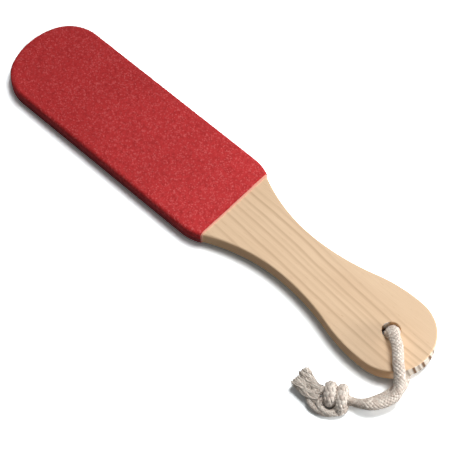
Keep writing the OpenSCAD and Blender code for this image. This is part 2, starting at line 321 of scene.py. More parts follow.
# Year rings of the wood: places across the grain in millimetres and how dark each one's late wood is
YEAR_RINGS = (
    (-19.5, 0.5), (-14.0, 0.75), (-10.2, 0.3), (-5.6, 0.9), (-2.6, 0.35), (0.7, 0.75), (3.4, 0.4),
    (6.0, 0.85), (10.8, 1.0), (14.2, 0.45),
)

# The strip that holds the rings, and over what width a ring darkens and pales, in millimetres
RING_SPAN, RING_RISE, RING_FALL = 60.0, 1.5, 0.7

# How the wood's grain runs across the board, leaning; how far it sways, and how far over it has leant
# at the neck's upper face, in millimetres
GRAIN_ACROSS, GRAIN_SWAY, GRAIN_LEANT = (0.0645, 1.0, 0.30), 4.2, 3.75

# Colours of the sanded faces, of the sawn sides, whose warmth is partly their own and partly painted
# bounce light in their shade, and of the end grain, whose pale base is a painted highlight and whose rings
# are its own
PALE_WOOD, WARM_WOOD, LATE_WOOD = (0.80, 0.585, 0.385), (0.74, 0.525, 0.335), (0.57, 0.38, 0.23)
FIBRE_TINT, PORE_TINT = (0.88, 0.85, 0.81), (0.66, 0.52, 0.42)
SIDE_WOOD_AND_BOUNCE_LIGHT, END_WOOD_PAINTED_LIGHT, END_RINGS = (0.98, 0.64, 0.37), (0.95, 0.85, 0.73), (0.22, 0.12, 0.06)


def year_rings(tree, where):
    """How dark the late wood is at each place, in uneven rings that lean and sway."""
    across = node(tree, "ShaderNodeVectorMath", operation="DOT_PRODUCT")
    tree.links.new(where, across.inputs[0])
    across.inputs[1].default_value = GRAIN_ACROSS
    sway = noise(tree, place_map(tree, (14, 30, 30)), Scale=1.0, Detail=2.5, Roughness=0.5)
    swayed = multiply_add(tree, sway, GRAIN_SWAY * MM, across.outputs["Value"])
    centred = 0.5 - (GRAIN_LEANT + GRAIN_SWAY / 2) / RING_SPAN
    ring_place = multiply_add(tree, swayed, 1 / (RING_SPAN * MM), centred)
    stops = [(0.0, 0.0)]
    for middle, dark in YEAR_RINGS:
        for place, shade in ((middle - RING_RISE, 0.0), (middle, dark), (middle + RING_FALL, 0.0)):
            stops.append((place / RING_SPAN + 0.5, shade))
    return ramp(tree, ring_place, *stops)


def end_wood_with_highlight(tree, late_wood):
    """The ends of the fibres, where the board is cut across: a pale base painted as a highlight, with dark
    rings and small tubes.
    """
    # The pale base is a painted highlight on the end; the dark rings and tubes are the end grain's own
    rings_on_highlight = mix(tree, "MIX", ramp(tree, late_wood, (0.0, 0.0), (0.5, 1.0)), END_WOOD_PAINTED_LIGHT, END_RINGS)
    tubes = noise(tree, place_map(tree, (900, 2600, 2600)), Scale=1.0, Detail=2.0)
    return mix(tree, "MULTIPLY", 0.6, rings_on_highlight, ramp(tree, tubes, (0.35, 0.78), (0.6, 1.0)))


def bare_wood():
    """Pale sanded softwood: year rings, fine fibres and short pores; its sawn sides warmer, partly by
    painted bounce light, and its end grain pale by a painted highlight.
    """
    material, tree, shader = new_material("bare_wood")
    where = node(tree, "ShaderNodeTexCoord")
    late_wood = year_rings(tree, where.outputs["Object"])
    patches = noise(tree, place_map(tree, (22, 60, 60)), Scale=1.0, Detail=3.0)
    early_wood = mix(tree, "MIX", ramp(tree, patches, (0.3, 0.0), (0.7, 1.0)), PALE_WOOD, WARM_WOOD)
    ringed = mix(tree, "MIX", ramp(tree, late_wood, (0.0, 0.0), (1.0, 0.9)), early_wood, LATE_WOOD)
    fibres = noise(tree, place_map(tree, (55, 2100, 700)), Scale=1.0, Detail=4.0, Roughness=0.6)
    fibred = mix(tree, "MULTIPLY", 0.5, ringed, ramp(tree, fibres, (0.3, FIBRE_TINT), (0.65, 1.0)))
    pores = noise(tree, place_map(tree, (190, 3600, 2600), turn=(0, 0, 0.065)), Scale=1.0, Detail=1.0)
    pored = mix(tree, "MULTIPLY", ramp(tree, pores, (0.70, 0.0), (0.78, 0.6)), fibred, PORE_TINT)
    facing = node(tree, "ShaderNodeSeparateXYZ")
    tree.links.new(where.outputs["Normal"], facing.inputs[0])
    level = node(tree, "ShaderNodeMath", operation="ABSOLUTE")
    tree.links.new(facing.outputs["Z"], level.inputs[0])
    # The sides are warmer and lighter: partly sawn wood's own tone, partly painted bounce light in their
    # shade
    side_and_bounce_share = ramp(tree, level.outputs[0], (0.35, 1.0), (0.8, 0.0))
    # Faces towards the handle's end get the end grain with its painted highlight
    end_grain_and_highlight = ramp(tree, facing.outputs["X"], (0.60, 0.0), (0.84, 1.0))
    sided = mix(tree, "MIX", side_and_bounce_share, pored, SIDE_WOOD_AND_BOUNCE_LIGHT)
    ended = mix(tree, "MIX", end_grain_and_highlight, sided, end_wood_with_highlight(tree, late_wood))
    coat(tree, shader, ended, roughness=0.56, gloss=0.35)
    fibre_relief = bump(tree, shader, fibres, 0.06, 0.6)
    bump(tree, shader, late_wood, 0.04, 0.5, fibre_relief)
    return material


# Colours of the dyed grain: painted glints on its crests, its body and painted shade in its pits; and the
# painted shade towards the tip and the tint in wide soft clouds
COARSE_RED = (0.72, 0.115, 0.115), (0.565, 0.031, 0.033), (0.445, 0.019, 0.021)
FINE_RED = (0.46, 0.10, 0.10), (0.31, 0.032, 0.036), (0.19, 0.015, 0.019)
TIP_PAINTED_SHADE, CLOUD_TINT = (0.83, 0.79, 0.79), (0.8, 0.78, 0.78)

# Places along the file, in millimetres: the painted shade at the tip is whole up to the first, gone from
# the second
SHADED_TO, UNSHADED_FROM = -75.0, -5.0


def abrasive_grain(name, size, crest_glint, body, pit_shade):
    """Dyed mineral grain in resin, size in millimetres: painted glints on the crests, painted shade in the
    pits and painted shade towards the tip.
    """
    material, tree, shader = new_material(name)
    here = place_map(tree)
    grains = node(tree, "ShaderNodeTexVoronoi", feature="F1", Scale=1 / (size * MM))
    tree.links.new(here, grains.inputs["Vector"])
    clumps = noise(tree, here, Scale=0.32 / (size * MM), Detail=3.0, Roughness=0.7)
    wide = noise(tree, here, Scale=38.0, Detail=3.0)
    # Painted shade in the pits between grains, and further down painted glints on the crests
    pit_shaded = mix(tree, "MIX", ramp(tree, clumps, (0.34, 1.0), (0.56, 0.0)), body, pit_shade)
    cell_tone = node(tree, "ShaderNodeSeparateColor")
    tree.links.new(grains.outputs["Color"], cell_tone.inputs["Color"])
    crest_glints = ramp(tree, cell_tone.outputs["Red"], (0.70, 0.0), (0.97, 0.7))
    glinted = mix(tree, "MIX", crest_glints, pit_shaded, crest_glint)
    clouded = mix(tree, "MULTIPLY", 0.5, glinted, ramp(tree, wide, (0.3, CLOUD_TINT), (0.7, 1.0)))
    along = node(tree, "ShaderNodeSeparateXYZ")
    tree.links.new(here, along.inputs[0])
    # Painted shade towards the tip, where the lamps' light falls off
    out_of_tip_shade = node(tree, "ShaderNodeMapRange", From_Min=SHADED_TO * MM, From_Max=UNSHADED_FROM * MM)
    tree.links.new(along.outputs["X"], out_of_tip_shade.inputs["Value"])
    tip_shade = ramp(tree, out_of_tip_shade.outputs[0], (0.0, TIP_PAINTED_SHADE), (1.0, 1.0))
    coat(tree, shader, mix(tree, "MULTIPLY", 1.0, clouded, tip_shade), roughness=0.55, gloss=0.15)
    bump(tree, shader, grains.outputs["Distance"], size * 0.35, 0.5)
    return material


# Colours of the backing's threads, in painted shade between them and painted light on their crests, and of
# the glue's film and bubbles
THREAD_SHADE, THREAD_PAINTED_LIGHT = (0.86, 0.40, 0.29), (0.97, 0.54, 0.41)
GLUE_FILM, GLUE_BUBBLES = (0.66, 0.47, 0.29), (0.78, 0.60, 0.42)


def cloth_backing():
    """Stiff dyed cloth: a plain weave with painted shade between its threads and painted light on their
    crests, seen only as a thin line at the sheet's cut edge.
    """
    material, tree, shader = new_material("cloth_backing")
    here = place_map(tree)
    threads = []
    for direction in ("X", "Y"):
        waves = node(
            tree, "ShaderNodeTexWave", wave_type="BANDS", bands_direction=direction, Scale=900.0
        )
        tree.links.new(here, waves.inputs["Vector"])
        threads.append(waves.outputs["Color"])
    weave = mix(tree, "MULTIPLY", 1.0, *threads)
    # Painted shade between the threads and painted light on their crests
    coat(tree, shader, mix(tree, "MIX", weave, THREAD_SHADE, THREAD_PAINTED_LIGHT), roughness=0.85)
    bump(tree, shader, weave, 0.05)
    return material


def hard_glue():
    """Amber glue film with small bubbles."""
    material, tree, shader = new_material("hard_glue")
    bubbles = noise(tree, place_map(tree), Scale=1400.0, Detail=2.0)
    bubbled = mix(tree, "MIX", ramp(tree, bubbles, (0.4, 0.0), (0.65, 1.0)), GLUE_FILM, GLUE_BUBBLES)
    coat(tree, shader, bubbled, roughness=0.4)
    bump(tree, shader, bubbles, 0.03)
    return material


# Colours of the undyed cotton, and the painted shade in the gaps between its yarns
COTTON_LIGHT, COTTON_SHADE, GAP_PAINTED_SHADE = (0.965, 0.88, 0.785), (0.69, 0.57, 0.485), (0.45, 0.40, 0.365)


def cotton_rope():
    """Soft undyed cotton: each yarn has its own tone, and painted shade darkens the gaps between yarns and
    the core.
    """
    material, tree, shader = new_material("cotton_rope")
    tone = node(tree, "ShaderNodeAttribute", attribute_name="yarn_tone").outputs["Fac"]
    outer = node(tree, "ShaderNodeAttribute", attribute_name="yarn_height").outputs["Fac"]
    along = node(tree, "ShaderNodeUVMap", uv_map="along_yarn")
    twist = node(
        tree, "ShaderNodeTexWave", wave_type="BANDS", bands_direction="DIAGONAL", Scale=2.4, Distortion=1.5
    )
    tree.links.new(along.outputs["UV"], twist.inputs["Vector"])
    ply = twist.outputs["Fac"]
    mottle = noise(tree, place_map(tree), Scale=900.0, Detail=3.0, Roughness=0.7)
    toned = mix(tree, "MIX", ramp(tree, tone, (0.1, 0.0), (0.85, 1.0)), COTTON_SHADE, COTTON_LIGHT)
    # Painted shade: the lower a yarn lies in the rope, the darker it is
    gapped = mix(tree, "MULTIPLY", 1.0, toned, ramp(tree, outer, (0.0, GAP_PAINTED_SHADE), (0.62, 1.0)))
    spun = mix(tree, "MULTIPLY", 0.35, gapped, ramp(tree, ply, (0.1, 0.62), (0.6, 1.0)))
    mottled = mix(tree, "MULTIPLY", 0.6, spun, ramp(tree, mottle, (0.36, 0.72), (0.62, 1.0)))
    coat(tree, shader, mottled, roughness=0.92, gloss=0.15)
    shader.inputs["Sheen Weight"].default_value = 0.25
    shader.inputs["Sheen Roughness"].default_value = 0.5
    ply_relief = bump(tree, shader, ply, 0.06, 0.6)
    bump(tree, shader, mottle, 0.08, 0.6, ply_relief)
    return material


# Routes of the rope's two legs in millimetres, as they lie
UPPER_ROUTE = (
    (110.5, 0.7, 7.2), (110.5, 0.7, 9.2), (110.7, 0, 11.3), (112, -1.5, 13.3), (114.4, -3.1, 15),
    (117.9, -5.4, 15.9), (121.5, -8.1, 15.9), (125, -10.9, 15.2), (127.9, -13.3, 14.2),
    (130, -15.1, 12.4), (131.5, -16.8, 10.3), (132.6, -19.3, 8.5), (133, -22.5, 7.3),
    (132.3, -26.1, 6.7), (130.6, -29.6, 6.5), (128.2, -32.9, 6.6), (125.1, -35.4, 7.1),
    (122, -36.9, 7.4), (119.2, -38.2, 7.4),
)
LOWER_ROUTE = (
    (110.5, 0.7, 7.2), (110.5, 0.7, 5.6), (110.9, 0.4, 3.8), (112.2, -0.5, 2.4), (114.8, -2, 1.7),
    (118.4, -4, 1.6), (122, -5.9, 1.6), (125.6, -7.8, 1.6), (128.7, -10.3, 1.9), (130.8, -13, 2.3),
    (131.5, -16.5, 2.5), (130.9, -20.1, 2.5), (130.1, -23.2, 2.5), (129.2, -25.8, 2.5),
    (127.5, -29.1, 2.6), (125.5, -32.6, 2.8), (123.3, -35.3, 3.1), (121.8, -36.7, 3.3),
    (119.2, -38.2, 3.3),
)
LONG_TAIL_ROUTE = (
    (106.2, -42.9, 6), (104.2, -43.5, 5.4), (101.4, -43.1, 4.7), (98.4, -42, 4.1), (95.6, -40.7, 3.6),
    (92.6, -39.2, 3.3),
)
SHORT_TAIL_ROUTE = (
    (108, -47.4, 4.8), (105.6, -48.4, 4.3), (102.8, -48.8, 3.9), (99.4, -48.4, 3.6), (95.6, -48.2, 3.3),
    (91.8, -48.4, 3.2),
)
ROPE_D = 5.0

# The knot's own axes: x towards the handle, y to the far side, z up from the surface
KNOT_C = Vector((113.0, -41.9, 0.0))
KNOT_X = Vector((12.4, 7.4, 0.0)).normalized()
KNOT_Y = Vector((0, 0, 1)).cross(KNOT_X)


def in_knot(x, y, z):
    """A point of the knot's own axes as it lies, in millimetres."""
    return tuple(KNOT_C + KNOT_X * x + KNOT_Y * y + Vector((0, 0, z)))


# Steps of the fine line between two of a route's points
FINE_STEPS = 24

# A line that starts steeper than this takes its first side from another axis
STEEP = 0.8


def run_along(line):
    """How far along a line each of its points lies."""
    return np.concatenate([[0], np.cumsum(np.linalg.norm(np.diff(line, axis=0), axis=1))])


def smooth_line(points, step):
    """A smooth line through points, with its points a step apart, in millimetres."""
    p = np.array(points, float)
    ends = np.vstack([2 * p[0] - p[1], p, 2 * p[-1] - p[-2]])
    fine = []
    for i in range(1, len(ends) - 2):
        a, b, c, d = ends[i - 1:i + 3]
        square = 2 * a - 5 * b + 4 * c - d
        cube = 3 * b - a - 3 * c + d
        for t in np.linspace(0, 1, FINE_STEPS, endpoint=False):
            fine.append(0.5 * (2 * b + (c - a) * t + square * t * t + cube * t ** 3))
    fine.append(p[-1])
    fine = np.array(fine)
    run_to = run_along(fine)
    places = np.linspace(0, run_to[-1], int(round(run_to[-1] / step)) + 1)
    line = np.stack([np.interp(places, run_to, fine[:, k]) for k in range(3)], axis=1)
    return line, places


def carried_frames(line):
    """Heading, side and top of each point, carried along the line without twist."""
    heading = np.gradient(line, axis=0)
    heading /= np.linalg.norm(heading, axis=1)[:, None]
    first = np.array([0.0, 0, 1]) if abs(heading[0][2]) < STEEP else np.array([1.0, 0, 0])
    side = np.zeros_like(line)
    side[0] = np.cross(heading[0], first)
    side[0] /= np.linalg.norm(side[0])
    for i in range(1, len(line)):
        carried = side[i - 1] - heading[i] * np.dot(side[i - 1], heading[i])
        side[i] = carried / np.linalg.norm(carried)
    return heading, side, np.cross(heading, side)


# How much higher a yarn's crown counts than its middle for the painted shade, and how wide its map is all
# round
CROWN, MAP_ROUND = 0.35, 4

# Keeps a direction of no length from being divided by zero
TINY = 1e-12


class Yarns:
    """Gathers swept yarns into one mesh with a tone, a height for the painted shade and a map along each
    yarn.
    """

    def __init__(self):
        self.points, self.faces, self.tones, self.heights, self.maps = [], [], [], [], []
        self.count = 0

    def add(self, line, outward, wide, thick, tone, height, sides=6):
        """Sweeps a flat oval along a line; outward is the direction of the oval's short way."""
        heading = np.gradient(line, axis=0)
        heading /= np.linalg.norm(heading, axis=1)[:, None] + TINY
        out = outward - heading * np.sum(outward * heading, axis=1)[:, None]
        out /= np.linalg.norm(out, axis=1)[:, None] + TINY
        across = np.cross(heading, out)
        n = len(line)
        wide = np.broadcast_to(wide, n)
        thick = np.broadcast_to(thick, n)
        angles = np.arange(sides) * 2 * math.pi / sides
        ring = (
            line[:, None, :]
            + across[:, None, :] * (np.cos(angles)[None, :, None] * wide[:, None, None] / 2)
            + out[:, None, :] * (np.sin(angles)[None, :, None] * thick[:, None, None] / 2)
        )
        rows = np.arange(n - 1)[:, None] * sides
        a = np.arange(sides)[None, :]
        b = (a + 1) % sides
        quads = np.stack([rows + a, rows + b, rows + sides + b, rows + sides + a], axis=2).reshape(-1, 4)
        self.faces.extend((quads + self.count).tolist())
        self.faces.append([self.count + k for k in reversed(range(sides))])
        self.faces.append([self.count + (n - 1) * sides + k for k in range(sides)])
        self.points.append(ring.reshape(-1, 3))
        lift = np.sin(angles)[None, :] * CROWN + np.broadcast_to(height, n)[:, None]
        self.heights.append(np.clip(lift, 0, 1).reshape(-1))
        self.tones.append(np.repeat(np.broadcast_to(tone, n), sides))
        round_yarn = np.tile(angles / (2 * math.pi) * MAP_ROUND, n)
        self.maps.append(np.stack([np.repeat(run_along(line), sides), round_yarn], axis=1))
        self.count += n * sides

    def piece(self, name, material):
        """Makes the gathered yarns one piece in its finish."""
        points = np.concatenate(self.points) * MM
        mesh = bpy.data.meshes.new(name)
        mesh.from_pydata(points.tolist(), [], self.faces)
        for label, values in (("yarn_tone", self.tones), ("yarn_height", self.heights)):
            layer = mesh.attributes.new(label, "FLOAT", "POINT")
            layer.data.foreach_set("value", np.concatenate(values))
        corners = np.zeros(len(mesh.loops), dtype=np.int32)
        mesh.loops.foreach_get("vertex_index", corners)
        layer = mesh.uv_layers.new(name="along_yarn")
        layer.uv.foreach_set("vector", np.concatenate(self.maps)[corners].reshape(-1))
        mesh.polygons.foreach_set("use_smooth", np.ones(len(mesh.polygons), dtype=bool))
        mesh.materials.append(material)
        made = bpy.data.objects.new(name, mesh)
        bpy.context.scene.collection.objects.link(made)
        return made


def ease(values, start, end):
    """Rises smoothly from 0 at start to 1 at end."""
    t = np.clip((values - start) / (end - start), 0, 1)
    return t * t * (3 - 2 * t)


# A strand's tone changes at marks this far apart, up to this far past its end, in millimetres, and
# from strand to strand by this share of its own spread
TONE_STEP, TONE_PAST, STRAND_SPREAD = 1.1, 3, 0.8


def rope_tone(places, middle, spread):
    """A tone that drifts from place to place along a strand."""
    marks = np.arange(0, places[-1] + TONE_PAST, TONE_STEP)
    drift = np.interp(places, marks, dice.normal(0, spread, len(marks)))
    return np.clip(middle + dice.normal(0, spread * STRAND_SPREAD) + drift, 0, 1)


# The braid's strands each way, and how far one runs along the rope for a turn round it, also in the knot
STRANDS_EACH_WAY = 8
BRAID_PITCH, KNOT_PITCH = 2.4 * ROPE_D, 4.6 * ROPE_D

# A full rope's strands turn slower and a thin one's faster, between these shares of its usual width
TURN_LIMITS = (0.6, 1.5)

# Shares of the rope's radius: the core's width, how far out the strands run, how far they weave in and
# out and how thick they are
CORE_W, STRAND_REACH, WEAVE, STRAND_T = 1.45, 0.76, 0.11, 0.36

# A strand's width as a share of its room, and how much its reach varies
STRAND_OVERLAP, UNEVENNESS = 1.3, 0.05

# Pressed flat, the rope keeps at least this share of its height, and widens by this power of the share
LEAST_HEIGHT, WIDENING = 0.62, 0.55

# The lowest that a strand's middle runs, in millimetres
STRAND_FLOOR = 0.8

# The core's tone, dark as painted shade between the strands, how high a strand counts for the painted
# shade halfway through its weave, and what its weave adds
CORE_SHADED_TONE, STRAND_HEIGHT, WEAVE_HEIGHT = 0.3, 0.62, 0.38


def braid(yarns, line, places, radius, pitch):
    """A round plain braid along a line, pressed flat where it lies close to the surface."""
    _, side, top = carried_frames(line)
    low = np.clip(line[:, 2] / radius, LEAST_HEIGHT, 1)
    pressed = np.stack([low ** -WIDENING, low ** -WIDENING, low], axis=1)
    turn_rate = 2 * math.pi / pitch / np.clip(radius / (ROPE_D / 2), *TURN_LIMITS)
    turned = np.concatenate([[0], np.cumsum(turn_rate[:-1] * np.diff(places))])
    core_w, core_t = CORE_W * radius * pressed[:, 0], CORE_W * radius * low
    yarns.add(line, top, core_w, core_t, CORE_SHADED_TONE, height=0, sides=10)
    room = 2 * math.pi * STRAND_REACH * radius / STRANDS_EACH_WAY
    slope = np.cos(np.arctan(2 * math.pi * STRAND_REACH * ROPE_D / 2 / pitch))
    wide = room * slope * STRAND_OVERLAP
    for way in (1, -1):
        for strand in range(STRANDS_EACH_WAY):
            start = 2 * math.pi * (strand + (0.5 if way < 0 else 0)) / STRANDS_EACH_WAY
            angle = start + way * turned
            weave = way * np.sin(STRANDS_EACH_WAY * turned)
            loose = 1 + UNEVENNESS * rope_tone(places, middle=0, spread=1.0)
            reach = radius * (STRAND_REACH + WEAVE * weave) * loose
            offset = side * (np.cos(angle) * reach)[:, None] + top * (np.sin(angle) * reach)[:, None]
            out = side * np.cos(angle)[:, None] + top * np.sin(angle)[:, None]
            path = line + offset * pressed
            path[:, 2] = np.maximum(path[:, 2], STRAND_FLOOR)
            height = np.clip(STRAND_HEIGHT + WEAVE_HEIGHT * weave, 0, 1)
            tone = rope_tone(places, middle=0.5, spread=0.2)
            yarns.add(path, out, wide, radius * STRAND_T, tone, height)


# Loose fibres: the points of each, its reach and width and the lowest it runs, in millimetres, and the
# share of the rope's radius that it leaves from
FIBRE_POINTS, FIBRE_REACH, FIBRE_D, FIBRE_FLOOR, FIBRE_FROM = 5, 1.1, 0.09, 0.08, 0.9


def fuzz(yarns, line, radius, count):
    """Fine loose fibres that stand out of the rope."""
    heading, side, top = carried_frames(line)
    t = np.linspace(0, 1, FIBRE_POINTS)[:, None]
    for _ in range(count):
        i = int(dice.integers(2, len(line) - 3))
        angle = dice.uniform(0, 2 * math.pi)
        out = side[i] * math.cos(angle) + top[i] * math.sin(angle)
        drift = heading[i] * dice.normal(0, 1.0) + np.cross(heading[i], out) * dice.normal(0, 1.0)
        reach = FIBRE_REACH * dice.uniform(0.4, 1.0)
        bend = dice.uniform(0.15, 0.5)
        path = line[i] + out * radius * FIBRE_FROM + (drift * t + out * bend * np.sin(t * math.pi)) * reach
        path[:, 2] = np.maximum(path[:, 2], FIBRE_FLOOR)
        outward = np.tile(out, (FIBRE_POINTS, 1))
        tone = dice.uniform(0.4, 1.0)
        yarns.add(path, outward, FIBRE_D, FIBRE_D, tone, height=0.9, sides=3)


# Angles in radians: from one loose yarn to the next, a full turn, and the tuft's own twist and sway
GOLDEN_ANGLE, FULL_TURN, TUFT_TWIST, TUFT_SWAY = 2.39996, 6.28, 1.1, 0.3

# How fast a yarn's crimp goes round along it, in radians to the millimetre
CRIMP_RATE = (1.3, 1.9)

# A tuft's height as a share of its width, and the gap that is left under it, in millimetres
TUFT_HEIGHT, TUFT_GAP = 0.85, 0.1

# A yarn's width as a share of its thickness, and how much it narrows over its last millimetres
YARN_W, YARN_TAPER, TAPER_RUN = 1.15, 0.45, 1.2


def tuft(yarns, line, places, start_r, end_r, count, yarn_d, cut, crimp):
    """The rope's yarns let loose: they start close together, spread, wave and end cut off bluntly."""
    _, side, top = carried_frames(line)
    share = places / places[-1]
    for k in range(count):
        angle = k * GOLDEN_ANGLE + dice.normal(0, 0.2)
        depth = math.sqrt((k + 0.5) / count)
        spread = (start_r + (end_r - start_r) * ease(share, 0.1, 0.9)) * depth
        wave_1, wave_2 = dice.uniform(0, FULL_TURN, 2)
        lay = angle + TUFT_TWIST * (1 - share) + TUFT_SWAY * np.sin(5 * share + wave_1)
        curl = crimp * np.sin(dice.uniform(*CRIMP_RATE) * places + wave_2)
        lift = crimp * np.cos(dice.uniform(*CRIMP_RATE) * places + wave_1)
        path = (
            line
            + side * (np.cos(lay) * spread + curl)[:, None]
            + top * (np.sin(lay) * spread * TUFT_HEIGHT + lift)[:, None]
        )
        size = yarn_d * dice.uniform(0.75, 1.2)
        path[:, 2] = np.maximum(path[:, 2], TUFT_GAP + size / 2)
        stop = int(len(line) * dice.uniform(1 - cut, 1.0))
        out = side * np.cos(lay)[:, None] + top * np.sin(lay)[:, None]
        end_share = ease(places[:stop], places[stop - 1] - TAPER_RUN, places[stop - 1])
        thick = size * (1 - YARN_TAPER * end_share)
        tone = rope_tone(places, middle=0.78, spread=0.3)[:stop]
        yarns.add(path[:stop], out[:stop], thick * YARN_W, thick, tone, height=0.25 + 0.7 * depth)


# How full the rope is where nothing holds it, and where its bend is drawn to, in millimetres
FULLNESS = 1.1
TO_THE_SIDE = np.array([-0.8, -0.7, 0.0])

# The hole's hold on a leg fades between these places, and the knot's grows over this last stretch, in
# millimetres
HOLE_FADE, KNOT_RUN = (4, 12), 10

# How much the knot narrows a leg, and between which shares of its length
SQUEEZE, SQUEEZE_SPAN = 0.44, (0.84, 0.99)

# Loose fibres on a leg and on each of the knot's ropes, and the radius that the knot's leave from
LEG_FIBRES, KNOT_FIBRES, KNOT_ROPE_R = 240, 110, 0.45 * ROPE_D

rope_finish = cotton_rope()


def make_leg(name, route, node_name, swell, pushed, lifted, side_span):
    """One leg of the rope, a braid of its own.

    In the hole it swells by a share and is pushed over, at its bend it is drawn to the side between
    the places of side_span, and at the knot it narrows and is lifted. Its places and moves are in
    millimetres.
    """
    yarns = Yarns()
    line, places = smooth_line(route, step=0.2)
    at_hole = 1 - ease(places, *HOLE_FADE)
    at_knot = ease(places, places[-1] - KNOT_RUN, places[-1])
    at_bend = ease(places, *side_span[:2]) * (1 - ease(places, *side_span[2:]))
    gripped = 1 - SQUEEZE * ease(places / places[-1], *SQUEEZE_SPAN)
    radius = ROPE_D / 2 * FULLNESS * gripped * (1 + swell * at_hole)
    drawn = line + np.array(pushed) * at_hole[:, None] + TO_THE_SIDE * at_bend[:, None]
    drawn[:, 2] += lifted * at_knot
    braid(yarns, drawn, places, radius, BRAID_PITCH)
    fuzz(yarns, drawn, ROPE_D / 2, LEG_FIBRES)
    leg = yarns.piece(name, rope_finish)
    add_piece(leg, "rope", node_name)


# The two ropes of the knot in its own axes: a place, and the rope's width there as a share of ROPE_D
FRONT_ROPE = (
    (9.0, 0.3, 5.6, 0.62), (6.4, 0.4, 5.6, 0.75), (3.0, 0.4, 5.0, 0.85), (-1.0, -0.8, 4.6, 0.8),
    (-4.2, -1.9, 4.8, 0.7), (-5.9, -3.1, 4.8, 0.62), (-6.2, -4.6, 4.6, 0.6), (-4.6, -6.1, 4.0, 0.62),
    (-1.4, -7.0, 3.1, 0.64), (2.0, -6.1, 3.0, 0.72), (4.4, -4.3, 3.0, 0.86), (5.0, -1.4, 2.5, 0.95),
    (4.5, 1.4, 2.5, 1.0), (3.6, 3.6, 3.8, 1.06), (3.2, 4.5, 6.2, 1.1), (3.1, 3.2, 8.1, 1.12),
    (3.2, 0.6, 8.8, 1.12), (3.4, -2.0, 8.0, 1.08), (3.5, -4.0, 6.2, 1.0), (3.2, -4.9, 4.4, 0.9),
    (1.8, -4.6, 3.4, 0.8),
)
BACK_ROPE = (
    (9.0, 0.1, 4.2, 0.62), (6.4, 0.0, 3.9, 0.75), (3.0, 0.6, 3.8, 0.85), (-1.0, 1.6, 4.4, 0.85),
    (-4.8, 2.5, 5.5, 0.82), (-8.0, 1.7, 5.3, 0.78), (-10.4, -0.3, 4.6, 0.7), (-11.1, -2.7, 3.9, 0.62),
    (-10.0, -4.6, 3.3, 0.58), (-8.2, -5.8, 2.9, 0.6), (-5.2, -6.8, 2.5, 0.68), (-2.2, -6.9, 2.3, 0.74),
    (0.8, -5.6, 2.2, 0.76), (1.6, -2.8, 2.1, 0.8), (0.4, 0.4, 2.1, 0.8), (-1.6, 2.8, 2.9, 1.0),
    (-2.4, 4.0, 4.8, 1.15), (-2.5, 4.3, 6.6, 1.22), (-2.4, 3.0, 8.4, 1.24), (-2.3, 0.6, 9.1, 1.24),
    (-2.1, -1.6, 8.6, 1.18), (-1.9, -3.0, 7.2, 1.08), (-1.8, -2.9, 5.6, 0.95), (-1.8, -1.8, 4.4, 0.85),
)


def make_knot():
    """The overhand knot, tied in both legs side by side, each a braid of its own."""
    yarns = Yarns()
    for rope in (FRONT_ROPE, BACK_ROPE):
        line, places = smooth_line([in_knot(*p[:3]) for p in rope], step=0.25)
        spans = [math.dist(a[:3], b[:3]) for a, b in zip(rope, rope[1:])]
        marks = np.concatenate([[0], np.cumsum(spans)]) * places[-1] / sum(spans)
        radius = ROPE_D / 2 * np.interp(places, marks, [p[3] for p in rope])
        braid(yarns, line, places, radius, KNOT_PITCH)
        fuzz(yarns, line, KNOT_ROPE_R, KNOT_FIBRES)
    knot = yarns.piece("knotted_rope", rope_finish)
    add_piece(knot, "rope", "rope_knot")
    return knot


def make_tail(name, route, node_name, used, lean):
    """A frayed end: the rope's yarns and fine fibres, spread into a blunt tuft.

    It has the used share of its route, and its far end leans over by lean, in millimetres.
    """
    yarns = Yarns()
    line, places = smooth_line(route, step=0.4)
    kept = int(len(line) * used)
    line, places = line[:kept], places[:kept]
    line = line + np.array(lean) * (places / places[-1])[:, None]
    tuft(yarns, line, places, start_r=1.8, end_r=2.5, count=30, yarn_d=1.0, cut=0.14, crimp=0.12)
    tuft(yarns, line, places, start_r=2.2, end_r=3.0, count=110, yarn_d=0.3, cut=0.24, crimp=0.2)
    tail = yarns.piece(name, rope_finish)
    add_piece(tail, "rope", node_name)
    return tail


knot = make_knot()
far_tail = make_tail("frayed_end_far", LONG_TAIL_ROUTE, "rope_tail_long", 1.0, (-1.0, -0.9, 0.0))
near_tail = make_tail("frayed_end_near", SHORT_TAIL_ROUTE, "rope_tail_short", 0.94, (-0.6, 0.7, 2.3))
make_leg(
    "rope_leg_over", UPPER_ROUTE, "rope_upper_leg", swell=0.28,
    pushed=(1.3, -0.45, -0.3), lifted=-1.7, side_span=(16, 26, 32, 42),
)
make_leg(
    "rope_leg_under", LOWER_ROUTE, "rope_lower_leg", swell=0.1,
    pushed=(-0.5, 0.0, -0.5), lifted=0.8, side_span=(20, 30, 38, 50),
)


def sweep_head():
    """The outline from the tip round the corner, along the side and over the shoulder to the neck."""
    sweep(TIP_C, TIP_TURN - 180, steps=10)
    sweep(CORNER_C, 90 - TIP_TURN, steps=22)
    run(SHOULDER_C[0] - CORNER_C[0], 0)
    sweep(SHOULDER_C, -NECK_TURN, steps=12)


